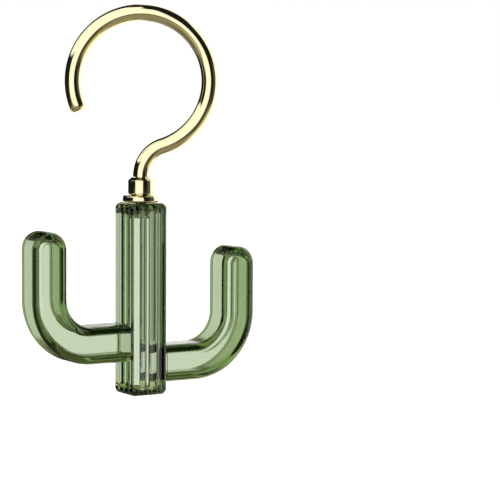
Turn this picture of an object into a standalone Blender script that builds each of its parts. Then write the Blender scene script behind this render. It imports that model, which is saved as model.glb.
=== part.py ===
"""Rotating purse hanger: a clear green acrylic cactus that turns under a gold-plated hook.

Metres, +Z up. The origin is the top of the hook's loop on its inner side, where the hanger sits
on a closet rod. The swivel's axis is Z, the cactus's arms lie along X, and its front faces -Y.
"""

import math

import bmesh
import bpy
from mathutils import Matrix, Vector

# Hook: one rod, bent in one plane
ROD_DIAMETER = 0.007
LOOP_INNER_DIAMETER = 0.052
LOOP_END_ANGLE = math.radians(206)  # from the right-hand side, over the top, to the rod's tip
TIP_ROUNDING = 0.0026
NECK_BEND_RADIUS = 0.0135  # centre line of the bend that brings the rod back over the collar
SHANK_LENGTH = 0.0004  # straight rod between that bend and the shoulder above the collar
HOOK_TURN = math.radians(-30)  # the hook's plane, as the swivel stands at rest

# Fits
SEAT_GAP = 0.0003  # between pieces that touch
RUNNING_GAP = 0.0003  # between pieces that turn past each other

# Riveted end of the rod, inside the collar
JOURNAL_DIAMETER = 0.005
THRUST_WASHER_DIAMETER = 0.0080
THRUST_WASHER_THICKNESS = 0.0007
RIVET_WASHER_DIAMETER = 0.0080
RIVET_WASHER_THICKNESS = 0.0010
RIVET_DIAMETER = 0.0066
RIVET_HEIGHT = 0.0009
RIVET_DOME = 0.0004

# Collar and its base
COLLAR_DIAMETER = 0.0112
COLLAR_WALL = 0.0012
COLLAR_ROOF = 0.0018
COLLAR_LIP = 0.0005  # flat ring left on top of the cone, round the rod
COLLAR_CONE_HEIGHT = 0.0013
COLLAR_FOOT_CHAMFER = 0.0007
FLANGE_DIAMETER = 0.0160
FLANGE_THICKNESS = 0.0029
FLANGE_TOP_CHAMFER = 0.0006
FLANGE_FOOT_ROUNDING = 0.0010
BOSS_HEIGHT = 0.0022

# Fixing in the trunk's top
STUD_DIAMETER = 0.0040
STUD_CHAMFER = 0.0004
STUD_DEPTH_IN_BASE = 0.0034
STUD_DEPTH_IN_INSERT = 0.0048
INSERT_DIAMETER = 0.0070
INSERT_LENGTH = 0.0052
INSERT_TOOTH_DEPTH = 0.0004
INSERT_GROOVE_WIDTH = 0.0010
INSERT_GROOVE_DEPTH = 0.0008
INSERT_TEETH = 18
INSERT_BOSS_WALL = 0.0012  # acrylic round the insert, in the boss under the trunk's top
INSERT_BOSS_FLOOR = 0.0010

# Trunk: a shell, open at the back
TRUNK_SIDE = 0.0176
TRUNK_HEIGHT = 0.0835
TRUNK_ROUNDING = 0.0025
TRUNK_WALL = 0.0023  # from the ribs' crests to the hollow
TRUNK_HOLLOW_CORNER = 0.0030  # round corners of the hollow, seen from the back
TRUNK_HOLLOW_EDGE = 0.0012  # rounding between the hollow's floor and its sides
RIBS_PER_SIDE = 4
RIB_DEPTH = 0.0012
SOCKET_FLOOR_WALL = 0.0010  # acrylic left under the arms' sockets

# Arms: shells too, with the channel at the back
ARM_REACH = 0.0548  # from the trunk's axis to the arm's outer face
ARM_WIDTH = 0.0162
ARM_DEPTH = 0.0140
ARM_WALL = 0.0036
ARM_HEIGHT = 0.0578
ARM_BEND_RADIUS = 0.0290  # outer side of the quarter bend
ARM_TOP_FLAT = 0.0012  # left between the two roundings of the arm's top
ARM_FRONT_ROUNDING = 0.0046
ARM_RIM_ROUNDING = 0.0006
ARM_TENON_INSET = 0.0006  # step between the arm's faces and the tenon let into the trunk
ARM_FORWARD = 0.0007  # from the trunk's axis to the middle of the arms' depth, towards the front
LEFT_ARM_LIFT = 0.0149  # from the trunk's foot to the arm's underside
RIGHT_ARM_LIFT = 0.0048

CUTTER_OVERRUN = 0.002
ROUND_SEGMENTS = 28
LOOP_STEPS = 52
NECK_STEPS = 10
ROUNDING_STEPS = 5
RIB_STEPS = 8
ARM_BEND_STEPS = 14
ARM_TOP_STEPS = 9
SHARP_ANGLE = math.radians(32)

# Heights of the stack, from the hook's inner crest down to the trunk's foot
ROD_RADIUS = ROD_DIAMETER / 2
LOOP_RADIUS = (LOOP_INNER_DIAMETER + ROD_DIAMETER) / 2
LOOP_CENTRE = -LOOP_INNER_DIAMETER / 2
NECK_ANGLE = math.acos(NECK_BEND_RADIUS / (LOOP_RADIUS + NECK_BEND_RADIUS))
NECK_FOOT = LOOP_CENTRE - (LOOP_RADIUS + NECK_BEND_RADIUS) * math.sin(NECK_ANGLE)
SHOULDER = NECK_FOOT - SHANK_LENGTH
COLLAR_TOP = SHOULDER - RUNNING_GAP
CEILING = COLLAR_TOP - COLLAR_ROOF
THRUST_WASHER_TOP = CEILING - RUNNING_GAP
RIVET_WASHER_TOP = THRUST_WASHER_TOP - THRUST_WASHER_THICKNESS - SEAT_GAP
RIVET_TOP = RIVET_WASHER_TOP - RIVET_WASHER_THICKNESS - SEAT_GAP
BOSS_TOP = RIVET_TOP - RIVET_HEIGHT - RUNNING_GAP
FLANGE_TOP = BOSS_TOP - BOSS_HEIGHT
COLLAR_FOOT = FLANGE_TOP + SEAT_GAP
FLANGE_FOOT = FLANGE_TOP - FLANGE_THICKNESS
TRUNK_TOP = FLANGE_FOOT - SEAT_GAP
TRUNK_FOOT = TRUNK_TOP - TRUNK_HEIGHT

CAVITY_RADIUS = COLLAR_DIAMETER / 2 - COLLAR_WALL
JOURNAL_HOLE_RADIUS = JOURNAL_DIAMETER / 2 + RUNNING_GAP
STUD_HOLE_RADIUS = STUD_DIAMETER / 2 + SEAT_GAP
RIB_PITCH = TRUNK_SIDE / RIBS_PER_SIDE
FIRST_CREST = (RIB_PITCH - TRUNK_SIDE) / 2
INSERT_BORE_RADIUS = INSERT_DIAMETER / 2 + SEAT_GAP
INSERT_BORE_FOOT = TRUNK_TOP - INSERT_LENGTH - SEAT_GAP
SOCKET_FLOOR = TRUNK_SIDE / 2 - TRUNK_WALL + SOCKET_FLOOR_WALL
ARM_SHOULDER = TRUNK_SIDE / 2 + SEAT_GAP
TENON_END = SOCKET_FLOOR + SEAT_GAP
ARM_FRONT = -ARM_FORWARD - ARM_DEPTH / 2
ARM_BACK = -ARM_FORWARD + ARM_DEPTH / 2
ARM_TOP_ROUNDING = (ARM_WIDTH - ARM_TOP_FLAT) / 2
CHANNEL_ROUNDING = ARM_FRONT_ROUNDING - ARM_WALL


def clear_scene():
    """Start from an empty scene."""
    for thing in list(bpy.data.objects):
        bpy.data.objects.remove(thing, do_unlink=True)


def finish(name, colour, roughness, metallic, transmission=0.0):
    """Plain finish of one piece."""
    material = bpy.data.materials.new(name)
    material.use_nodes = True
    shader = material.node_tree.nodes["Principled BSDF"]
    shader.inputs["Base Color"].default_value = (*colour, 1.0)
    shader.inputs["Roughness"].default_value = roughness
    shader.inputs["Metallic"].default_value = metallic
    shader.inputs["Transmission Weight"].default_value = transmission
    return material


def gold(name):
    """Polished pale gold plating."""
    return finish(name, (0.86, 0.74, 0.45), 0.08, 1.0)


def green_acrylic(name):
    """Clear acrylic, tinted sage green."""
    return finish(name, (0.42, 0.56, 0.33), 0.03, 0.0, transmission=1.0)


def add_solid(name, shape, material):
    """Turn a bmesh into an object with smooth faces and crisp edges."""
    bmesh.ops.recalc_face_normals(shape, faces=shape.faces)
    mesh = bpy.data.meshes.new(name)
    shape.to_mesh(mesh)
    shape.free()
    mesh.shade_smooth()
    mesh.set_sharp_from_angle(angle=SHARP_ANGLE)
    if material:
        mesh.materials.append(material)
    solid = bpy.data.objects.new(name, mesh)
    bpy.context.collection.objects.link(solid)
    return solid


def lofted(rings, bored=False):
    """Skin a row of rings with equally many points: a capped bar, or a sleeve closed on itself."""
    shape = bmesh.new()
    loops = [[shape.verts.new(point) for point in ring] for ring in rings]
    pairs = list(zip(loops, loops[1:]))
    if bored:
        pairs.append((loops[-1], loops[0]))
    else:
        shape.faces.new(loops[0])
        shape.faces.new(loops[-1])
    for near, far in pairs:
        for index in range(len(near)):
            after = (index + 1) % len(near)
            shape.faces.new((near[index], near[after], far[after], far[index]))
    return shape


def turned(name, profile, material, bored=False):
    """Turn a profile of (radius, height) points about the swivel's axis."""
    turns = [math.tau * step / ROUND_SEGMENTS for step in range(ROUND_SEGMENTS)]
    rings = [[(radius * math.cos(turn), radius * math.sin(turn), height) for turn in turns]
             for radius, height in profile]
    return add_solid(name, lofted(rings, bored), material)


def arc(centre, radius, start, end, steps):
    """Points of an arc in a plane, both ends included."""
    angles = [start + (end - start) * step / steps for step in range(steps + 1)]
    return [(centre[0] + radius * math.cos(angle), centre[1] + radius * math.sin(angle))
            for angle in angles]


def cut(solid, cutter, operation="DIFFERENCE"):
    """Cut one solid by another, which stays in the file as a hidden guide."""
    cutter.hide_render = True
    cutter.display_type = "WIRE"
    boolean = solid.modifiers.new(cutter.name, "BOOLEAN")
    boolean.operation = operation
    boolean.solver = "EXACT"
    boolean.object = cutter


def rounded_block(name, size, centre, rounding):
    """Box with all its edges rounded."""
    shape = bmesh.new()
    bmesh.ops.create_cube(shape, size=1.0, matrix=Matrix.Diagonal((*size, 1.0)))
    bmesh.ops.bevel(shape, geom=shape.edges[:], offset=rounding, segments=ROUNDING_STEPS, profile=0.5,
                    affect="EDGES")
    bmesh.ops.translate(shape, verts=shape.verts, vec=centre)
    return add_solid(name, shape, None)


def rod_stations():
    """Centre, direction and radius at each section of the rod, from the riveted end to the tip.

    Places are (across, up) in the hook's own plane, with the swivel's axis at across = 0.
    """
    down_to_up = (0.0, 1.0)
    journal = JOURNAL_DIAMETER / 2
    rivet = RIVET_DIAMETER / 2
    rivet_foot = RIVET_TOP - RIVET_HEIGHT
    stations = [
        ((0.0, rivet_foot), down_to_up, rivet - RIVET_DOME),
        ((0.0, rivet_foot + RIVET_DOME), down_to_up, rivet),
        ((0.0, RIVET_TOP), down_to_up, rivet),
        ((0.0, RIVET_TOP), down_to_up, journal),
        ((0.0, SHOULDER), down_to_up, journal),
        ((0.0, SHOULDER), down_to_up, ROD_RADIUS),
    ]
    neck = arc((NECK_BEND_RADIUS, NECK_FOOT), NECK_BEND_RADIUS, math.pi, math.pi - NECK_ANGLE, NECK_STEPS)
    for step, place in enumerate(neck):
        lean = NECK_ANGLE * step / NECK_STEPS
        stations.append((place, (math.sin(lean), math.cos(lean)), ROD_RADIUS))
    tip_angle = TIP_ROUNDING / LOOP_RADIUS
    loop_end = LOOP_END_ANGLE - tip_angle
    loop = arc((0.0, LOOP_CENTRE), LOOP_RADIUS, -NECK_ANGLE, loop_end, LOOP_STEPS)
    for step, place in enumerate(loop[1:], start=1):
        angle = -NECK_ANGLE + (loop_end + NECK_ANGLE) * step / LOOP_STEPS
        stations.append((place, (-math.sin(angle), math.cos(angle)), ROD_RADIUS))
    for step in range(1, ROUNDING_STEPS + 1):
        roll = math.pi / 2 * step / ROUNDING_STEPS
        angle = loop_end + tip_angle * math.sin(roll)
        place = (LOOP_RADIUS * math.cos(angle), LOOP_CENTRE + LOOP_RADIUS * math.sin(angle))
        radius = ROD_RADIUS - TIP_ROUNDING * (1 - math.cos(roll))
        stations.append((place, (-math.sin(angle), math.cos(angle)), radius))
    return stations


def make_hook_rod():
    """Rod with a riveted journal, an S-bend over the collar and an open loop."""
    along_hook = Vector((math.cos(HOOK_TURN), math.sin(HOOK_TURN), 0.0))
    up = Vector((0.0, 0.0, 1.0))
    out_of_plane = along_hook.cross(up)
    rings = []
    for (across, height), (run, rise), radius in rod_stations():
        centre = across * along_hook + height * up
        in_plane = rise * along_hook - run * up
        ring = []
        for step in range(ROUND_SEGMENTS):
            turn = math.tau * step / ROUND_SEGMENTS
            ring.append(centre + radius * (math.cos(turn) * in_plane + math.sin(turn) * out_of_plane))
        rings.append(ring)
    return add_solid("hook_rod", lofted(rings), gold("hook_gold"))


def make_washers():
    """Plastic washer that turns under the collar's roof, and the steel washer riveted below it."""
    hole = JOURNAL_HOLE_RADIUS
    outer = THRUST_WASHER_DIAMETER / 2
    foot = THRUST_WASHER_TOP - THRUST_WASHER_THICKNESS
    profile = [(hole, foot), (outer, foot), (outer, THRUST_WASHER_TOP), (hole, THRUST_WASHER_TOP)]
    turned("thrust_washer", profile, finish("white_nylon", (0.85, 0.84, 0.80), 0.5, 0.0), bored=True)
    outer = RIVET_WASHER_DIAMETER / 2
    foot = RIVET_WASHER_TOP - RIVET_WASHER_THICKNESS
    profile = [(hole, foot), (outer, foot), (outer, RIVET_WASHER_TOP), (hole, RIVET_WASHER_TOP)]
    turned("rivet_washer", profile, finish("zinc_steel", (0.55, 0.55, 0.54), 0.35, 1.0), bored=True)


def make_swivel_collar():
    """Turned sleeve: a coned roof with the journal's hole, open below over the base's boss."""
    outer = COLLAR_DIAMETER / 2
    profile = [
        (CAVITY_RADIUS, COLLAR_FOOT),
        (outer - COLLAR_FOOT_CHAMFER, COLLAR_FOOT),
        (outer, COLLAR_FOOT + COLLAR_FOOT_CHAMFER),
        (outer, COLLAR_TOP - COLLAR_CONE_HEIGHT),
        (ROD_RADIUS + COLLAR_LIP, COLLAR_TOP),
        (JOURNAL_HOLE_RADIUS, COLLAR_TOP),
        (JOURNAL_HOLE_RADIUS, CEILING),
        (CAVITY_RADIUS, CEILING),
    ]
    return turned("swivel_collar", profile, gold("collar_gold"), bored=True)


def make_collar_base():
    """Round flange with the boss that the collar is fixed on, and a blind hole for the stud."""
    outer = FLANGE_DIAMETER / 2
    boss = CAVITY_RADIUS - SEAT_GAP
    rounding = arc((outer - FLANGE_FOOT_ROUNDING, FLANGE_FOOT + FLANGE_FOOT_ROUNDING),
                   FLANGE_FOOT_ROUNDING, -math.pi / 2, 0.0, ROUNDING_STEPS)
    hole_top = FLANGE_FOOT + STUD_DEPTH_IN_BASE + SEAT_GAP
    profile = [(STUD_HOLE_RADIUS, hole_top), (STUD_HOLE_RADIUS, FLANGE_FOOT)]
    profile += rounding
    profile += [
        (outer, FLANGE_TOP - FLANGE_TOP_CHAMFER),
        (outer - FLANGE_TOP_CHAMFER, FLANGE_TOP),
        (boss, FLANGE_TOP),
        (boss, BOSS_TOP),
    ]
    return turned("collar_base", profile, gold("flange_gold"))


def make_threaded_stud():
    """Stud from the base down into the insert, its threads left plain."""
    radius = STUD_DIAMETER / 2
    top = FLANGE_FOOT + STUD_DEPTH_IN_BASE
    foot = TRUNK_TOP - STUD_DEPTH_IN_INSERT
    profile = [
        (radius - STUD_CHAMFER, foot),
        (radius, foot + STUD_CHAMFER),
        (radius, top - STUD_CHAMFER),
        (radius - STUD_CHAMFER, top),
    ]
    return turned("threaded_stud", profile, finish("stud_steel", (0.45, 0.45, 0.44), 0.35, 1.0))


def make_threaded_insert():
    """Toothed brass sleeve with a groove round its middle, sunk in the trunk's top."""
    tip = INSERT_DIAMETER / 2
    valley = tip - INSERT_TOOTH_DEPTH
    groove = tip - INSERT_GROOVE_DEPTH
    top = TRUNK_TOP
    foot = top - INSERT_LENGTH
    groove_foot = (top + foot - INSERT_GROOVE_WIDTH) / 2
    groove_top = groove_foot + INSERT_GROOVE_WIDTH
    levels = [(STUD_HOLE_RADIUS, STUD_HOLE_RADIUS, foot), (valley, tip, foot), (valley, tip, groove_foot),
              (groove, groove, groove_foot), (groove, groove, groove_top), (valley, tip, groove_top),
              (valley, tip, top), (STUD_HOLE_RADIUS, STUD_HOLE_RADIUS, top)]
    rings = []
    for even, odd, height in levels:
        ring = []
        for step in range(2 * INSERT_TEETH):
            turn = math.pi * step / INSERT_TEETH
            radius = odd if step % 2 else even
            ring.append((radius * math.cos(turn), radius * math.sin(turn), height))
        rings.append(ring)
    material = finish("insert_brass", (0.62, 0.48, 0.25), 0.35, 1.0)
    return add_solid("threaded_insert", lofted(rings, bored=True), material)


def ribbed_side():
    """One side of the trunk's outline, from corner to corner, as (along, out) points.

    Each rib is a shallow arc. The two end ribs run on flat from their crest to the corner.
    """
    half = TRUNK_SIDE / 2
    chord = RIB_PITCH / 2
    radius = (chord ** 2 + RIB_DEPTH ** 2) / (2 * RIB_DEPTH)
    spread = math.asin(chord / radius)
    crests = [FIRST_CREST + index * RIB_PITCH for index in range(RIBS_PER_SIDE)]
    points = [(-half, half)]
    for index, crest in enumerate(crests):
        start = 0.0 if index == 0 else -spread
        end = 0.0 if index == RIBS_PER_SIDE - 1 else spread
        steps = round(RIB_STEPS * (end - start) / (2 * spread))
        for step in range(steps + 1):
            lean = start + (end - start) * step / steps
            point = (crest + radius * math.sin(lean), half - radius * (1 - math.cos(lean)))
            if math.dist(point, points[-1]) > SEAT_GAP:
                points.append(point)
    return points


def eased_depths(front, rounding):
    """(inset, depth) pairs round a front edge: drawn in most at the front, and not at all behind it."""
    pairs = []
    for step in range(ROUNDING_STEPS + 1):
        roll = math.pi / 2 * step / ROUNDING_STEPS
        pairs.append((rounding * (1 - math.sin(roll)), front + rounding * (1 - math.cos(roll))))
    return pairs


def make_trunk():
    """Square shell with rounded ends, ribbed in front and at the sides, hollow and open at the back.

    A boss under its top is bored for the insert, and each side is let in for an arm's tenon.
    """
    half = TRUNK_SIDE / 2
    outline = [Vector((-half, half)), Vector((half, half))]
    for quarter in (1, 2, 3):
        turn = Matrix.Rotation(-quarter * math.pi / 2, 2)
        outline += [turn @ Vector(point) for point in ribbed_side()[1:]]
    outline.pop()
    rings = [[(point.x, point.y, height) for point in outline] for height in (TRUNK_FOOT, TRUNK_TOP)]
    trunk = add_solid("trunk", lofted(rings), green_acrylic("trunk_acrylic"))
    middle = (0.0, 0.0, (TRUNK_TOP + TRUNK_FOOT) / 2)
    envelope = rounded_block("trunk_envelope", (TRUNK_SIDE, TRUNK_SIDE, TRUNK_HEIGHT), middle, TRUNK_ROUNDING)
    cut(trunk, envelope, "INTERSECT")
    depths = eased_depths(TRUNK_WALL - half, TRUNK_HOLLOW_EDGE) + [(0.0, half + CUTTER_OVERRUN)]
    hollow = add_solid("trunk_hollow", lofted([trunk_hollow_ring(*pair) for pair in depths]), None)
    boss_radius = INSERT_BORE_RADIUS + INSERT_BOSS_WALL
    boss = [(boss_radius, INSERT_BORE_FOOT - INSERT_BOSS_FLOOR), (boss_radius, TRUNK_TOP)]
    cut(hollow, turned("insert_boss", boss, None))
    cut(trunk, hollow)
    bore = [(INSERT_BORE_RADIUS, INSERT_BORE_FOOT), (INSERT_BORE_RADIUS, TRUNK_TOP + CUTTER_OVERRUN)]
    cut(trunk, turned("insert_bore", bore, None))
    for name, side, lift in (("left_socket", -1, LEFT_ARM_LIFT), ("right_socket", 1, RIGHT_ARM_LIFT)):
        section = arm_section(TRUNK_FOOT + lift, ARM_TENON_INSET - SEAT_GAP)
        rings = [[(side * along, depth, height) for depth, height in section]
                 for along in (SOCKET_FLOOR, half + CUTTER_OVERRUN)]
        cut(trunk, add_solid(name, lofted(rings), None))
    return trunk


def trunk_hollow_ring(inset, depth):
    """The hollow's outline at a depth: a tall rectangle with round corners, drawn in by an inset."""
    corner = TRUNK_HOLLOW_CORNER - inset
    across = TRUNK_SIDE / 2 - TRUNK_WALL - TRUNK_HOLLOW_CORNER
    high = TRUNK_TOP - TRUNK_WALL - TRUNK_HOLLOW_CORNER
    low = TRUNK_FOOT + TRUNK_WALL + TRUNK_HOLLOW_CORNER
    centres = [(across, high), (-across, high), (-across, low), (across, low)]
    ring = []
    for quarter, centre in enumerate(centres):
        start = quarter * math.pi / 2
        ring += arc(centre, corner, start, start + math.pi / 2, ROUNDING_STEPS)
    return [(x, depth, z) for x, z in ring]


def arm_depths(inset):
    """(inset, depth) pairs from the arm's front to its back, over the rounded front and rim edges."""
    front = eased_depths(ARM_FRONT + inset, ARM_FRONT_ROUNDING - inset)
    rim = eased_depths(inset - ARM_BACK, ARM_RIM_ROUNDING)
    return ([(inset + drawn_in, depth) for drawn_in, depth in front]
            + [(inset + drawn_in, -depth) for drawn_in, depth in reversed(rim)])


def arm_section(foot, inset):
    """The arm's outline cut across its level run, as (depth, height) points, drawn in by an inset."""
    depths = arm_depths(inset)
    return ([(depth, foot + drawn_in) for drawn_in, depth in depths]
            + [(depth, foot + ARM_WIDTH - drawn_in) for drawn_in, depth in reversed(depths)])


def arm_outline(root, foot, inset):
    """The arm's side view, drawn in by an inset: from the root round the bend and over the top."""
    bend = (ARM_REACH - ARM_BEND_RADIUS, foot + ARM_BEND_RADIUS)
    inner = ARM_REACH - ARM_WIDTH
    top = foot + ARM_HEIGHT
    outline = [(root, foot + inset)]
    outline += arc(bend, ARM_BEND_RADIUS - inset, -math.pi / 2, 0.0, ARM_BEND_STEPS)
    outline += arc((ARM_REACH - ARM_TOP_ROUNDING, top - ARM_TOP_ROUNDING), ARM_TOP_ROUNDING - inset,
                   0.0, math.pi / 2, ARM_TOP_STEPS)
    outline += arc((inner + ARM_TOP_ROUNDING, top - ARM_TOP_ROUNDING), ARM_TOP_ROUNDING - inset,
                   math.pi / 2, math.pi, ARM_TOP_STEPS)
    outline += arc(bend, ARM_BEND_RADIUS - ARM_WIDTH + inset, 0.0, -math.pi / 2, ARM_BEND_STEPS)
    outline.append((root, foot + ARM_WIDTH - inset))
    return outline


def make_arm(name, side, lift):
    """Shell bent up by a quarter turn, with a round top, a channel at the back and a short tenon.

    side is 1 for the right arm and -1 for the left, and lift its height above the trunk's foot.
    """
    foot = TRUNK_FOOT + lift
    shape = bmesh.new()
    loops = [[shape.verts.new((side * along, depth, height))
              for along, height in arm_outline(ARM_SHOULDER, foot, drawn_in)]
             for drawn_in, depth in arm_depths(0.0)]
    for near, far in zip(loops, loops[1:]):
        for index in range(len(near) - 1):
            shape.faces.new((near[index], near[index + 1], far[index + 1], far[index]))
    shape.faces.new(loops[0])
    shape.faces.new(loops[-1])
    rim = [loop[0] for loop in loops] + [loop[-1] for loop in reversed(loops)]
    section = arm_section(foot, ARM_TENON_INSET)
    for along in (ARM_SHOULDER, TENON_END):
        inner_rim = [shape.verts.new((side * along, depth, height)) for depth, height in section]
        for index in range(len(rim)):
            after = (index + 1) % len(rim)
            shape.faces.new((rim[index], rim[after], inner_rim[after], inner_rim[index]))
        rim = inner_rim
    shape.faces.new(rim)
    arm = add_solid(name, shape, green_acrylic(name + "_acrylic"))
    depths = eased_depths(ARM_FRONT + ARM_WALL, CHANNEL_ROUNDING)
    depths.append((0.0, ARM_BACK + CUTTER_OVERRUN))
    rings = [[(side * along, depth, height)
              for along, height in arm_outline(TENON_END - CUTTER_OVERRUN, foot, ARM_WALL + drawn_in)]
             for drawn_in, depth in depths]
    cut(arm, add_solid(name + "_channel", lofted(rings), None))
    return arm


clear_scene()
make_hook_rod()
make_washers()
make_swivel_collar()
make_collar_base()
make_threaded_stud()
make_threaded_insert()
make_trunk()
make_arm("left_arm", -1, LEFT_ARM_LIFT)
make_arm("right_arm", 1, RIGHT_ARM_LIFT)
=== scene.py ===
"""Rotating purse hanger: a clear green acrylic cactus that turns under a gold-plated hook.

Metres, +Z up. The origin is the top of the hook's loop on its inner side, the swivel's axis is Z,
and the cactus's arms lie along X. The pieces follow in the order in which they are put together.
"""

import math

import bmesh
import bpy
from mathutils import Matrix, Vector


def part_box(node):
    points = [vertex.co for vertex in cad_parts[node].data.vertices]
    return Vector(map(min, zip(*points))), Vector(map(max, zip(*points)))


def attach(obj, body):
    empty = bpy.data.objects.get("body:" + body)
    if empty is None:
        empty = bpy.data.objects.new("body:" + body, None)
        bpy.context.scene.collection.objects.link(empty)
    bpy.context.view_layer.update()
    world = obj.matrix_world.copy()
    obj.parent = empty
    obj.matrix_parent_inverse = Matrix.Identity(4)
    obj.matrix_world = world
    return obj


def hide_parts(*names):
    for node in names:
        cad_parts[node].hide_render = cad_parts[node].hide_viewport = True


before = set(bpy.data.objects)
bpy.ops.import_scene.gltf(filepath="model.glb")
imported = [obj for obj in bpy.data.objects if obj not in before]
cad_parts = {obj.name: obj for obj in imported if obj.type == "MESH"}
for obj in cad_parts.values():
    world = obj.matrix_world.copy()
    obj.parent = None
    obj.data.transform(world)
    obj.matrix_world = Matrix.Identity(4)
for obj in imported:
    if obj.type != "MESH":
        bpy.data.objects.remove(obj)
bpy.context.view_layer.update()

# Hook rod: 7 mm steel rod, bent cold in one plane to an open loop and an S-bend, then plated.
# Its lower end is turned down to a journal, which is riveted over under the washers in the collar.
rod_diameter = 0.0070
loop_inner_diameter = 0.0520
loop_end_angle = math.radians(206)
neck_bend_radius = 0.0135
tip_rounding = 0.0026
hook_turn = math.radians(-30)
journal_diameter = 0.0050
rivet_diameter = 0.0066
rivet_dome = 0.0004
running_gap = 0.0003

rod_sides = 72
loop_steps = 220
neck_steps = 48
rounding_steps = 10
crease = math.radians(32)

rod_radius = rod_diameter / 2
loop_radius = (loop_inner_diameter + rod_diameter) / 2
loop_centre = -loop_inner_diameter / 2
neck_angle = math.acos(neck_bend_radius / (loop_radius + neck_bend_radius))
neck_foot = loop_centre - (loop_radius + neck_bend_radius) * math.sin(neck_angle)
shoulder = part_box("swivel_collar")[1].z + running_gap
rivet_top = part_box("rivet_washer")[0].z - running_gap
rivet_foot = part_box("hook_rod")[0].z


def arc(centre, radius, start, end, steps):
    """Points of an arc in a plane, both ends included."""
    angles = [start + (end - start) * step / steps for step in range(steps + 1)]
    return [(centre[0] + radius * math.cos(angle), centre[1] + radius * math.sin(angle))
            for angle in angles]


def skinned(name, rings, bored=False):
    """Skin rings with equally many points: a capped bar, or a sleeve closed on itself."""
    shape = bmesh.new()
    loops = [[shape.verts.new(point) for point in ring] for ring in rings]
    pairs = list(zip(loops, loops[1:]))
    if bored:
        pairs.append((loops[-1], loops[0]))
    else:
        shape.faces.new(loops[0])
        shape.faces.new(loops[-1])
    for near, far in pairs:
        for index in range(len(near)):
            after = (index + 1) % len(near)
            shape.faces.new((near[index], near[after], far[after], far[index]))
    return made(name, shape)


def made(name, shape):
    """A smooth piece with crisp edges, its faces turned outwards."""
    bmesh.ops.recalc_face_normals(shape, faces=shape.faces)
    mesh = bpy.data.meshes.new(name)
    shape.to_mesh(mesh)
    shape.free()
    mesh.shade_smooth()
    mesh.set_sharp_from_angle(angle=crease)
    piece = bpy.data.objects.new(name, mesh)
    bpy.context.collection.objects.link(piece)
    return piece


def hook_stations():
    """Centre, direction and radius at each section of the rod, from the riveted end to the tip."""
    straight_up = (0.0, 1.0)
    rivet = rivet_diameter / 2
    journal = journal_diameter / 2
    stations = [
        ((0.0, rivet_foot), straight_up, rivet - 2 * rivet_dome),
        ((0.0, rivet_foot + rivet_dome / 2), straight_up, rivet - rivet_dome / 2),
        ((0.0, rivet_foot + rivet_dome), straight_up, rivet),
        ((0.0, rivet_top), straight_up, rivet),
        ((0.0, rivet_top), straight_up, journal),
        ((0.0, shoulder), straight_up, journal),
        ((0.0, shoulder), straight_up, rod_radius),
    ]
    neck = arc((neck_bend_radius, neck_foot), neck_bend_radius, math.pi, math.pi - neck_angle,
               neck_steps)
    for step, place in enumerate(neck):
        lean = neck_angle * step / neck_steps
        stations.append((place, (math.sin(lean), math.cos(lean)), rod_radius))
    tip_angle = tip_rounding / loop_radius
    loop_end = loop_end_angle - tip_angle
    loop = arc((0.0, loop_centre), loop_radius, -neck_angle, loop_end, loop_steps)
    for step, place in enumerate(loop[1:], start=1):
        angle = -neck_angle + (loop_end + neck_angle) * step / loop_steps
        stations.append((place, (-math.sin(angle), math.cos(angle)), rod_radius))
    for step in range(1, rounding_steps + 1):
        roll = math.pi / 2 * step / rounding_steps
        angle = loop_end + tip_angle * math.sin(roll)
        place = (loop_radius * math.cos(angle), loop_centre + loop_radius * math.sin(angle))
        stations.append((place, (-math.sin(angle), math.cos(angle)),
                         rod_radius - tip_rounding * (1 - math.cos(roll))))
    return stations


across = Vector((math.cos(hook_turn), math.sin(hook_turn), 0.0))
upright = Vector((0.0, 0.0, 1.0))
sideways = across.cross(upright)
hook_rings = []
for (along, height), (run, rise), radius in hook_stations():
    centre = along * across + height * upright
    outward = rise * across - run * upright
    turns = [math.tau * step / rod_sides for step in range(rod_sides)]
    hook_rings.append([centre + radius * (math.cos(turn) * outward + math.sin(turn) * sideways)
                       for turn in turns])
hook = skinned("hook_rod_plated", hook_rings)


def finish(name, colour, roughness, metallic):
    """A Principled material, with its node tree and shader for further work."""
    material = bpy.data.materials.new(name)
    material.use_nodes = True
    shader = material.node_tree.nodes["Principled BSDF"]
    shader.inputs["Base Color"].default_value = (*colour, 1.0)
    shader.inputs["Roughness"].default_value = roughness
    shader.inputs["Metallic"].default_value = metallic
    return material, material.node_tree, shader


def grain(tree, shader, sizes, roughnesses, relief):
    """Vary a surface's roughness with a fine noise, and give it a slight relief of the same grain."""
    place = tree.nodes.new("ShaderNodeTexCoord")
    stretch = tree.nodes.new("ShaderNodeMapping")
    stretch.inputs["Scale"].default_value = [1 / size for size in sizes]
    noise = tree.nodes.new("ShaderNodeTexNoise")
    noise.inputs["Scale"].default_value = 1.0
    noise.inputs["Detail"].default_value = 4.0
    spread = tree.nodes.new("ShaderNodeMapRange")
    spread.inputs["To Min"].default_value, spread.inputs["To Max"].default_value = roughnesses
    bump = tree.nodes.new("ShaderNodeBump")
    bump.inputs["Strength"].default_value = 1.0
    bump.inputs["Distance"].default_value = relief
    tree.links.new(place.outputs["Object"], stretch.inputs["Vector"])
    tree.links.new(stretch.outputs["Vector"], noise.inputs["Vector"])
    tree.links.new(noise.outputs[0], spread.inputs["Value"])
    tree.links.new(spread.outputs["Result"], shader.inputs["Roughness"])
    tree.links.new(noise.outputs[0], bump.inputs["Height"])
    tree.links.new(bump.outputs["Normal"], shader.inputs["Normal"])


plating, tree, shader = finish("polished_gold_plating", colour=(0.90, 0.83, 0.52), roughness=0.03,
                               metallic=1.0)
grain(tree, shader, sizes=(0.0040, 0.0040, 0.0040), roughnesses=(0.015, 0.055), relief=0.000002)
hook.data.materials.append(plating)
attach(hook, "hook")
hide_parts("hook_rod")

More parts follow.
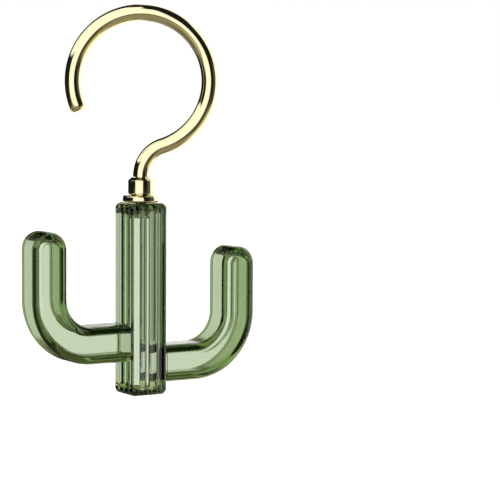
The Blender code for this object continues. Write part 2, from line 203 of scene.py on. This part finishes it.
# Washers: a nylon one that the collar's roof turns on, and a zinc-plated steel one below it,
# which the rod's riveted end holds. Both are slipped over the journal inside the collar.
nylon, tree, shader = finish("white_nylon", colour=(0.85, 0.84, 0.80), roughness=0.5, metallic=0.0)
grain(tree, shader, sizes=(0.0006, 0.0006, 0.0006), roughnesses=(0.42, 0.62), relief=0.00001)
zinc, tree, shader = finish("zinc_steel", colour=(0.55, 0.55, 0.54), roughness=0.35, metallic=1.0)
grain(tree, shader, sizes=(0.0010, 0.0010, 0.0002), roughnesses=(0.25, 0.45), relief=0.00001)
for node, material in (("thrust_washer", nylon), ("rivet_washer", zinc)):
    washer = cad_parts[node]
    washer.data.materials.clear()
    washer.data.materials.append(material)

# Swivel collar: a brass sleeve, turned with a coned roof and a chamfered foot, then plated.
# It turns round the journal and is screwed on the boss of its base.
collar_diameter = 0.0112
collar_wall = 0.0012
collar_roof = 0.0018
collar_lip = 0.0005
collar_cone_height = 0.0013
collar_foot_chamfer = 0.0007
turned_edge = 0.00016
turned_edge_steps = 4
turned_sides = 128

collar_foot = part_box("swivel_collar")[0].z
collar_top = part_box("swivel_collar")[1].z
cavity_radius = collar_diameter / 2 - collar_wall
journal_hole = journal_diameter / 2 + running_gap


def eased(profile):
    """Round each corner of a closed profile off to a small radius, as a polished edge is."""
    points = []
    for index, corner in enumerate(profile):
        before = Vector(profile[index - 1]) - Vector(corner)
        after = Vector(profile[(index + 1) % len(profile)]) - Vector(corner)
        half = before.angle(after) / 2
        reach = min(turned_edge / math.tan(half), before.length / 3, after.length / 3)
        start = Vector(corner) + before.normalized() * reach
        end = Vector(corner) + after.normalized() * reach
        for step in range(turned_edge_steps + 1):
            share = step / turned_edge_steps
            near = start.lerp(Vector(corner), share)
            far = Vector(corner).lerp(end, share)
            points.append(tuple(near.lerp(far, share)))
    return points


def turned(name, profile, bored=True):
    """Turn a profile of (radius, height) points about the swivel's axis."""
    turns = [math.tau * step / turned_sides for step in range(turned_sides)]
    rings = [[(radius * math.cos(turn), radius * math.sin(turn), height) for turn in turns]
             for radius, height in profile]
    return skinned(name, rings, bored)


outer = collar_diameter / 2
collar = turned("swivel_collar_plated", eased([
    (cavity_radius, collar_foot),
    (outer - collar_foot_chamfer, collar_foot),
    (outer, collar_foot + collar_foot_chamfer),
    (outer, collar_top - collar_cone_height),
    (rod_radius + collar_lip, collar_top),
    (journal_hole, collar_top),
    (journal_hole, collar_top - collar_roof),
    (cavity_radius, collar_top - collar_roof),
]))
collar.data.materials.append(plating)
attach(collar, "cactus")
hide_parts("swivel_collar")

# Collar base: a turned and plated brass flange, flat on the trunk, with a boss for the collar.
# A blind hole in its foot takes the stud.
flange_diameter = 0.0160
flange_thickness = 0.0029
flange_top_chamfer = 0.0006
flange_foot_rounding = 0.0010
stud_diameter = 0.0040
stud_depth_in_base = 0.0034
seat_gap = 0.0003

flange_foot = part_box("collar_base")[0].z
boss_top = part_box("collar_base")[1].z
flange_top = flange_foot + flange_thickness
boss_radius = cavity_radius - seat_gap
stud_hole = stud_diameter / 2 + seat_gap
outer = flange_diameter / 2
hole_top = flange_foot + stud_depth_in_base + seat_gap
foot_rounding = arc((outer - flange_foot_rounding, flange_foot + flange_foot_rounding),
                    flange_foot_rounding, -math.pi / 2, 0.0, rounding_steps)
base_rim = eased([
    (outer, flange_top - flange_top_chamfer),
    (outer - flange_top_chamfer, flange_top),
    (boss_radius, flange_top),
    (boss_radius, boss_top),
    (stud_diameter / 2, boss_top),
])
# The last corner only gives the boss's top edge its direction, so its own points are dropped
base_rim = base_rim[:-turned_edge_steps - 1]
base = turned("collar_base_plated", [(stud_hole, hole_top), (stud_hole, flange_foot)]
              + foot_rounding + base_rim, bored=False)
base.data.materials.append(plating)
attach(base, "cactus")
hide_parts("collar_base")

# Threaded stud: M4 steel with a rolled thread, zinc-plated. It is screwed through the base's foot
# into the insert below it, and so clamps the base on the trunk.
stud_chamfer = 0.0004
thread_pitch = 0.0007
thread_depth = 0.0004
steps_per_pitch = 10
stud_sides = 40

stud_foot, stud_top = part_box("threaded_stud")[0].z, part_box("threaded_stud")[1].z
stud_rings = []
level_count = round((stud_top - stud_foot) / thread_pitch * steps_per_pitch)
for level in range(level_count + 1):
    height = stud_foot + (stud_top - stud_foot) * level / level_count
    from_end = min(height - stud_foot, stud_top - height)
    chamfered = stud_diameter / 2 - max(0.0, stud_chamfer - from_end)
    ring = []
    for step in range(stud_sides):
        turn = math.tau * step / stud_sides
        phase = (height / thread_pitch - step / stud_sides) % 1.0
        radius = min(chamfered, stud_diameter / 2 - thread_depth * abs(2 * phase - 1))
        ring.append((radius * math.cos(turn), radius * math.sin(turn), height))
    stud_rings.append(ring)
stud = skinned("threaded_stud_cut", stud_rings)
steel, tree, shader = finish("stud_steel", colour=(0.45, 0.45, 0.44), roughness=0.3, metallic=1.0)
grain(tree, shader, sizes=(0.0008, 0.0008, 0.0003), roughnesses=(0.22, 0.42), relief=0.00001)
stud.data.materials.append(steel)
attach(stud, "cactus")
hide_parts("threaded_stud")

# Threaded insert: a knurled brass sleeve with a groove round its middle, pressed hot into the
# boss under the trunk's top, so that the acrylic holds its teeth.
insert_diameter = 0.0070
insert_tooth_depth = 0.0004
insert_groove_width = 0.0010
insert_groove_depth = 0.0008
insert_teeth = 18
steps_per_tooth = 8

insert_foot, insert_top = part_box("threaded_insert")[0].z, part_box("threaded_insert")[1].z
crest = insert_diameter / 2
valley = crest - insert_tooth_depth
groove = crest - insert_groove_depth
groove_foot = (insert_top + insert_foot - insert_groove_width) / 2
groove_top = groove_foot + insert_groove_width
edge = insert_tooth_depth / 2
# From the foot up: the radius between the teeth, the radius at their tips, and the height
levels = [
    (stud_hole, stud_hole, insert_foot),
    (valley - edge, crest - 2 * edge, insert_foot),
    (valley, crest, insert_foot + 2 * edge),
    (valley, crest, groove_foot - edge),
    (groove, groove, groove_foot),
    (groove, groove, groove_top),
    (valley, crest, groove_top + edge),
    (valley, crest, insert_top - edge),
    (valley - edge, crest - edge, insert_top),
    (stud_hole, stud_hole, insert_top),
]
insert_rings = []
for low, high, height in levels:
    ring = []
    count = insert_teeth * steps_per_tooth
    for step in range(count):
        turn = math.tau * step / count
        share = abs(2 * ((step / steps_per_tooth) % 1.0) - 1)
        radius = high + (low - high) * share
        ring.append((radius * math.cos(turn), radius * math.sin(turn), height))
    insert_rings.append(ring)
insert = skinned("threaded_insert_knurled", insert_rings, bored=True)
brass, tree, shader = finish("insert_brass", colour=(0.50, 0.42, 0.30), roughness=0.28, metallic=1.0)
grain(tree, shader, sizes=(0.0010, 0.0010, 0.0003), roughnesses=(0.2, 0.4), relief=0.00001)
insert.data.materials.append(brass)
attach(insert, "cactus")
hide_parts("threaded_insert")

# Trunk: an injection-moulded shell of clear green acrylic, ribbed on its front and its sides and
# cored out from behind. A boss under its top holds the insert, and each side is let in for an arm.
ribs_per_side = 4
rib_depth = 0.0012
rib_steps = 18
back_steps = 48
trunk_rounding = 0.0025
trunk_rounding_steps = 16
trunk_levels = 12
trunk_wall = 0.0023
hollow_corner = 0.0030
hollow_edge = 0.0012
mouth_edge = 0.0003
insert_boss_wall = 0.0012
insert_boss_floor = 0.0010
edge_steps = 12
overrun = 0.002
least_step = 0.00003
weld_distance = 0.000003
trunk_tint_density = 232.0

half_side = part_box("trunk")[1].x
trunk_foot, trunk_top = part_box("trunk")[0].z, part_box("trunk")[1].z
trunk_height = trunk_top - trunk_foot


def ribbed_side():
    """One side of the trunk's outline: shallow arcs, the end ones flat from crest to corner."""
    pitch = 2 * half_side / ribs_per_side
    radius = ((pitch / 2) ** 2 + rib_depth ** 2) / (2 * rib_depth)
    spread = math.asin(pitch / 2 / radius)
    flat = [pitch * step / rib_steps for step in range(rib_steps // 2)]
    points = [(along - half_side, half_side) for along in flat]
    for index in range(ribs_per_side):
        crest_at = (index + 0.5) * pitch - half_side
        start = 0.0 if index == 0 else -spread
        end = 0.0 if index == ribs_per_side - 1 else spread
        steps = round(rib_steps * (end - start) / (2 * spread))
        for step in range(steps + 1):
            lean = start + (end - start) * step / steps
            point = (crest_at + radius * math.sin(lean), half_side - radius * (1 - math.cos(lean)))
            if math.dist(point, points[-1]) > least_step:
                points.append(point)
    return points + [(half_side - along, half_side) for along in reversed(flat[1:])]


def kept_in(point, square, rounding):
    """Draw a point in along its ray until it lies in a square with rounded corners."""
    far, near = max(abs(point.x), abs(point.y)), min(abs(point.x), abs(point.y))
    scale = (square + rounding) / far
    if near * scale > square:
        total = far + near
        length = far * far + near * near
        scale = (square * total + math.sqrt(max(0.0, square ** 2 * total ** 2
                 - length * (2 * square ** 2 - rounding ** 2)))) / length
    return point * min(1.0, scale)


def cut(piece, cutter):
    """Cut one piece by another and throw the cutter away."""
    modifier = piece.modifiers.new("cut", "BOOLEAN")
    modifier.operation = "DIFFERENCE"
    modifier.solver = "EXACT"
    modifier.object = cutter
    view = bpy.context.evaluated_depsgraph_get()
    piece.data = bpy.data.meshes.new_from_object(piece.evaluated_get(view))
    piece.modifiers.clear()
    bpy.data.objects.remove(cutter, do_unlink=True)


def rolled(face, rounding):
    """(inset, depth) pairs round the edge behind a face at a depth, drawn in most at the face."""
    pairs = []
    for step in range(edge_steps + 1):
        roll = math.pi / 2 * step / edge_steps
        pairs.append((rounding * (1 - math.sin(roll)), face + rounding * (1 - math.cos(roll))))
    return pairs


def hollow_ring(inset, depth):
    """The hollow's outline at a depth: a tall rectangle with round corners, drawn in by an inset."""
    side = half_side - trunk_wall - hollow_corner
    high = trunk_top - trunk_wall - hollow_corner
    low = trunk_foot + trunk_wall + hollow_corner
    ring = []
    for quarter, centre in enumerate([(side, high), (-side, high), (-side, low), (side, low)]):
        start = quarter * math.pi / 2
        ring += arc(centre, hollow_corner - inset, start, start + math.pi / 2, rounding_steps)
    return [(x, depth, z) for x, z in ring]


back_side = [(2 * half_side * step / back_steps - half_side, half_side)
             for step in range(back_steps)]
outline = []
for quarter in range(4):
    turn = Matrix.Rotation(-quarter * math.pi / 2, 2)
    outline += [turn @ Vector(point) for point in (ribbed_side() if quarter else back_side)]
ends = []
for step in range(trunk_rounding_steps + 1):
    roll = math.pi / 2 * step / trunk_rounding_steps
    ends.append((trunk_rounding * (1 - math.cos(roll)), trunk_rounding * math.sin(roll)))
profile = ends + [(trunk_rounding + (trunk_height - 2 * trunk_rounding) * step / trunk_levels,
                   trunk_rounding) for step in range(1, trunk_levels)]
profile += [(trunk_height - up, rounding) for up, rounding in reversed(ends)]
trunk = skinned("trunk_moulded", [
    [(*kept_in(point, half_side - trunk_rounding, rounding), trunk_foot + up) for point in outline]
    for up, rounding in profile])

depths = rolled(trunk_wall - half_side, hollow_edge)
depths += [(0.0, half_side - mouth_edge), (-mouth_edge, half_side),
           (-mouth_edge, half_side + overrun)]
core = skinned("core", [hollow_ring(inset, depth) for inset, depth in depths])
bore_radius = insert_diameter / 2 + seat_gap
bore_foot = insert_foot - seat_gap
boss_radius = bore_radius + insert_boss_wall
cut(core, turned("insert_boss", [(boss_radius, bore_foot - insert_boss_floor),
                                 (boss_radius, trunk_top)], bored=False))
cut(trunk, core)
cut(trunk, turned("insert_bore", [(bore_radius, bore_foot), (bore_radius, trunk_top + overrun)],
                  bored=False))

# Arms: shells of the same acrylic, bent up by a quarter turn, with the channel at the back.
# The tenon on each root is bonded into a socket in the trunk's wall. The right arm sits lower.
arm_width = 0.0162
arm_wall = 0.0036
arm_bend_radius = 0.0290
arm_top_flat = 0.0012
arm_front_rounding = 0.0046
arm_rim_rounding = 0.0006
tenon_inset = 0.0006
socket_depth = 0.0013
bend_steps = 48
top_steps = 20
arm_tint_density = 186.0

arm_front, arm_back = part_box("left_arm")[0].y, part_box("left_arm")[1].y
arm_top_rounding = (arm_width - arm_top_flat) / 2
arm_shoulder = half_side + seat_gap
socket_floor = half_side - socket_depth


def outer_edges(step_in):
    """(inset, depth) pairs over an arm's front edge and rim, all drawn in by a step."""
    front = rolled(arm_front + step_in, arm_front_rounding - step_in)
    rim = rolled(-arm_back + step_in, arm_rim_rounding)
    return ([(step_in + inset, depth) for inset, depth in front]
            + [(step_in + inset, -depth) for inset, depth in reversed(rim)])


def channel_edges(step_in):
    """(inset, depth) pairs from the rim, set back by a step, down to the channel's floor."""
    mouth = rolled(-arm_back + step_in, mouth_edge)
    floor_edge = rolled(arm_front + arm_wall, arm_front_rounding - arm_wall)
    return ([(arm_wall - inset, -depth) for inset, depth in mouth]
            + [(arm_wall + inset, depth) for inset, depth in reversed(floor_edge)])


def arm_outline(inset, foot, reach, top):
    """An arm's side view, drawn in by an inset, from the shoulder round the bend and over the top."""
    bend = (reach - arm_bend_radius, foot + arm_bend_radius)
    inner = reach - arm_width
    points = [(arm_shoulder, foot + inset)]
    points += arc(bend, arm_bend_radius - inset, -math.pi / 2, 0.0, bend_steps)
    points += arc((reach - arm_top_rounding, top - arm_top_rounding), arm_top_rounding - inset,
                  0.0, math.pi / 2, top_steps)
    points += arc((inner + arm_top_rounding, top - arm_top_rounding), arm_top_rounding - inset,
                  math.pi / 2, math.pi, top_steps)
    points += arc(bend, arm_bend_radius - arm_width + inset, 0.0, -math.pi / 2, bend_steps)
    points.append((arm_shoulder, foot + arm_width - inset))
    return points


def root_rim(edges, side, along, foot):
    """An arm's section across its level run, low side first, as points at a place along the run."""
    return ([(side * along, depth, foot + inset) for inset, depth in edges]
            + [(side * along, depth, foot + arm_width - inset) for inset, depth in reversed(edges)])


def acrylic(name, density):
    """Clear acrylic, tinted sage green through its depth, its skin faintly wavy from the mould."""
    material, tree, shader = finish(name, colour=(1.0, 1.0, 1.0), roughness=0.0, metallic=0.0)
    grain(tree, shader, sizes=(0.006, 0.006, 0.012), roughnesses=(0.0, 0.005), relief=0.0000012)
    shader.inputs["Transmission Weight"].default_value = 1.0
    shader.inputs["IOR"].default_value = 1.48
    absorption = tree.nodes.new("ShaderNodeVolumeAbsorption")
    absorption.inputs["Color"].default_value = (0.315, 0.530, 0.035, 1.0)
    absorption.inputs["Density"].default_value = density
    tree.links.new(absorption.outputs["Volume"], tree.nodes["Material Output"].inputs["Volume"])
    return material


arm_green = acrylic("green_acrylic_arms", arm_tint_density)
for node, side in (("left_arm", -1), ("right_arm", 1)):
    low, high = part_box(node)
    reach = high.x if side > 0 else -low.x
    shape = bmesh.new()
    edges = outer_edges(0.0) + channel_edges(0.0)
    loops = [[shape.verts.new((side * along, depth, height))
              for along, height in arm_outline(inset, low.z, reach, high.z)]
             for inset, depth in edges]
    for near, far in zip(loops, loops[1:]):
        for index in range(len(near) - 1):
            shape.faces.new((near[index], near[index + 1], far[index + 1], far[index]))
    shape.faces.new(loops[0])
    shape.faces.new(loops[-1])
    rim = [loop[0] for loop in loops] + [loop[-1] for loop in reversed(loops)]
    edges = outer_edges(tenon_inset) + channel_edges(tenon_inset)
    for along in (arm_shoulder, socket_floor + seat_gap):
        inner_rim = [shape.verts.new(point) for point in root_rim(edges, side, along, low.z)]
        for index in range(len(rim)):
            after = (index + 1) % len(rim)
            shape.faces.new((rim[index], rim[after], inner_rim[after], inner_rim[index]))
        rim = inner_rim
    shape.faces.new(rim)
    bmesh.ops.remove_doubles(shape, verts=shape.verts, dist=weld_distance)
    arm = made(node + "_moulded", shape)
    socket_rim = outer_edges(tenon_inset - seat_gap)
    cut(trunk, skinned("socket", [root_rim(socket_rim, side, along, low.z)
                                  for along in (socket_floor, half_side + overrun)]))
    arm.modifiers.new("even_shading", "WEIGHTED_NORMAL").keep_sharp = True
    arm.data.materials.append(arm_green)
    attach(arm, "cactus")
    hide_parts(node)

trunk.data.set_sharp_from_angle(angle=crease)
trunk.modifiers.new("even_shading", "WEIGHTED_NORMAL").keep_sharp = True
trunk.data.materials.clear()
trunk.data.materials.append(acrylic("green_acrylic_trunk", trunk_tint_density))
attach(trunk, "cactus")
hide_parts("trunk")

# Studio: a pale floor below the hanging piece and a white backdrop. The plating and the acrylic
# mirror a room of soft lights, and what is seen through the acrylic is a pale room with dark flags.
floor_drop = 0.070
floor_size = 8.0
floor_lift = 0.35
white = (1.0, 1.0, 1.0, 1.0)

shape = bmesh.new()
bmesh.ops.create_grid(shape, x_segments=1, y_segments=1, size=floor_size / 2)
floor = made("studio_floor", shape)
floor.location.z = trunk_foot - floor_drop
floor.visible_glossy = False
floor.visible_transmission = False
paper, tree, shader = finish("pale_paper", colour=(0.8, 0.8, 0.8), roughness=0.9, metallic=0.0)
shader.inputs["Specular IOR Level"].default_value = 0.0
shader.inputs["Emission Color"].default_value = white
# For the camera alone, a little light of its own brings the floor up towards the backdrop's white
path = tree.nodes.new("ShaderNodeLightPath")
lift = tree.nodes.new("ShaderNodeMath")
lift.operation = "MULTIPLY"
lift.inputs[1].default_value = floor_lift
tree.links.new(path.outputs["Is Camera Ray"], lift.inputs[0])
tree.links.new(lift.outputs[0], shader.inputs["Emission Strength"])
floor.data.materials.append(paper)

view_turn = math.radians(-32.0)
fill_level = 0.75
backdrop_level = 1.0
warm_floor = (1.12, 1.0, 0.72, 1.0)

world = bpy.data.worlds.new("studio")
bpy.context.scene.world = world
world.use_nodes = True
tree = world.node_tree


def studio_node(kind, **settings):
    """Add a node to the studio's tree."""
    node = tree.nodes.new(kind)
    for key, value in settings.items():
        setattr(node, key, value)
    return node


def feed(value, socket):
    """Give a socket a number, or link another node's socket to it."""
    if isinstance(value, (int, float)):
        socket.default_value = value
    else:
        tree.links.new(value, socket)


def worked_out(operation, *terms):
    """One step of arithmetic on sockets and numbers."""
    node = studio_node("ShaderNodeMath", operation=operation)
    for index, term in enumerate(terms):
        feed(term, node.inputs[index])
    return node.outputs[0]


def window(angle, centre, half, soft):
    """1 where an angle lies within half of the centre, falling to 0 over a soft edge."""
    turned_off = worked_out("SUBTRACT", angle, centre)
    offset = worked_out("ABSOLUTE", worked_out("WRAP", turned_off, math.pi, -math.pi))
    fade = studio_node("ShaderNodeMapRange", interpolation_type="SMOOTHSTEP")
    tree.links.new(offset, fade.inputs["Value"])
    fade.inputs["From Min"].default_value = half - soft / 2
    fade.inputs["From Max"].default_value = half + soft / 2
    fade.inputs["To Min"].default_value = 1.0
    fade.inputs["To Max"].default_value = 0.0
    return fade.outputs["Result"]


direction = studio_node("ShaderNodeTexCoord").outputs["Generated"]
parts = studio_node("ShaderNodeSeparateXYZ")
tree.links.new(direction, parts.inputs[0])
# Turn is counted from the camera's own side towards its right, and rise from the horizon.
frontward = worked_out("MULTIPLY", parts.outputs["Y"], -1.0)
world_turn = worked_out("ARCTAN2", parts.outputs["X"], frontward)
turn_angle = worked_out("SUBTRACT", world_turn, view_turn)
rise_angle = worked_out("ARCSINE", parts.outputs["Z"])


def choose(when, yes, no):
    """One level where a socket is 1, and another where it is 0."""
    mix = studio_node("ShaderNodeMix", data_type="FLOAT")
    feed(when, mix.inputs["Factor"])
    feed(no, mix.inputs["A"])
    feed(yes, mix.inputs["B"])
    return mix.outputs["Result"]


def wall(level, cards):
    """Brightness of the studio by direction: a level, covered by cards one after the other.

    A card is its turn and rise, each from, to and soft edge in degrees, and its brightness.
    """
    for turn_from, turn_to, turn_soft, rise_from, rise_to, rise_soft, card_level in cards:
        across_card = window(turn_angle, math.radians((turn_from + turn_to) / 2),
                             math.radians((turn_to - turn_from) / 2), math.radians(turn_soft))
        up_card = window(rise_angle, math.radians((rise_from + rise_to) / 2),
                         math.radians((rise_to - rise_from) / 2), math.radians(rise_soft))
        level = choose(worked_out("MULTIPLY", across_card, up_card), card_level, level)
    return level


# What the plating and the acrylic's skin mirror
room = wall(0.012, [
    (-181, 181, 2, -95, -24, 16, 0.26),  # grey floor
    (48, 150, 30, -48, -22, 14, 0.42),  # its paler right side
    (-60, -14, 20, -34, -8, 14, 0.42),  # its paler patch in front on the left
    (24, 58, 12, -40, -10, 12, 0.07),  # dark gap in front on the right
    (-110, -60, 30, -60, -30, 14, 0.12),  # its darker left side
    (-118, 16, 8, 18, 50, 4, 1.2),  # soft light on the left
    (-118, 3, 10, 36, 80, 8, 1.2),  # its upper part
    (-49, 19, 7, -15, 24, 5, 1.2),  # soft light behind the camera
    (62, 94, 16, -14, 12, 14, 0.10),  # dim flag on the right
    (94, 184, 6, -50, 46, 12, 1.2),  # white wall behind on the right
])
# What is seen through the acrylic, whose flags draw its dark bands
clear = wall(0.80, [
    (-181, 181, 2, 12, 60, 10, 0.03),  # dark ceiling
    (-181, 181, 2, -95, -46, 16, 0.15),  # dark floor
    (-160, -113, 4, -11, 16, 3, 0.08),  # flag behind on the left
    (146, 161, 4, -15, 16, 3, 0.45),  # grey edge of the next flag
    (124, 150, 4, -11, 16, 3, 0.12),  # flag behind on the right
    (32, 47, 4, -11, 16, 3, 0.06),  # flag in front on the right
    (78, 98, 4, -11, 16, 3, 0.3),  # grey flag on the right
    (-76, -56, 6, -11, 16, 3, 0.12),  # flag on the left
    (171, 199, 3, -30, 9, 5, 0.96),  # white backdrop
    (170, 203, 3, -48, -12, 2, 0.26),  # dark strip along its foot
    (166, 188, 4, 2, 16, 3, 0.10),  # dark strip along its top
])

path = studio_node("ShaderNodeLightPath")
strength = choose(path.outputs["Is Glossy Ray"], room, fill_level)
strength = choose(path.outputs["Is Transmission Ray"], clear, strength)
strength = choose(path.outputs["Is Camera Ray"], backdrop_level, strength)
background = tree.nodes["Background"]
tree.links.new(strength, background.inputs["Strength"])
warmth = studio_node("ShaderNodeMix", data_type="RGBA")
below = window(rise_angle, centre=math.radians(-60), half=math.radians(44), soft=math.radians(16))
tree.links.new(worked_out("MULTIPLY", below, path.outputs["Is Glossy Ray"]), warmth.inputs["Factor"])
warmth.inputs["A"].default_value = white
warmth.inputs["B"].default_value = warm_floor
tree.links.new(warmth.outputs["Result"], background.inputs["Color"])

sun = bpy.data.objects.new("overhead_light", bpy.data.lights.new("overhead_light", "SUN"))
sun.data.energy = 1.0
sun.data.angle = math.radians(40)
sun.visible_glossy = False
sun.visible_transmission = False
sun.rotation_euler = (math.radians(-12), math.radians(-10), 0.0)
bpy.context.collection.objects.link(sun)

# Camera: a long lens about a metre away, 32 degrees round to the hanger's left and a little above
# it, aimed so that the hanger stands at the upper left of the picture.
view_rise = math.radians(5.54)
view_roll = math.radians(0.359)
view_distance = 1.0825
focal_pixels = 2489.2
picture_pixels = 500
sensor = 36.0
aim_below_trunk_top = 0.040
aim_right = 0.04746
aim_up = 0.01923

back = Vector((math.sin(view_turn) * math.cos(view_rise), -math.cos(view_turn) * math.cos(view_rise),
               math.sin(view_rise)))
level_right = Vector((math.cos(view_turn), math.sin(view_turn), 0.0))
level_up = back.cross(level_right)
right = math.cos(view_roll) * level_right + math.sin(view_roll) * level_up
up = -math.sin(view_roll) * level_right + math.cos(view_roll) * level_up
camera = bpy.data.objects.new("camera", bpy.data.cameras.new("camera"))
camera.data.sensor_width = sensor
camera.data.lens = sensor * focal_pixels / picture_pixels
camera.data.clip_start = 0.05
camera.data.clip_end = 50.0
aim = Vector((0.0, 0.0, trunk_top - aim_below_trunk_top))
place = aim + view_distance * back + aim_right * right + aim_up * up
camera.matrix_world = Matrix.Translation(place) @ Matrix((right, up, back)).transposed().to_4x4()
bpy.context.collection.objects.link(camera)
bpy.context.scene.camera = camera
bpy.context.scene.view_settings.view_transform = "Standard"
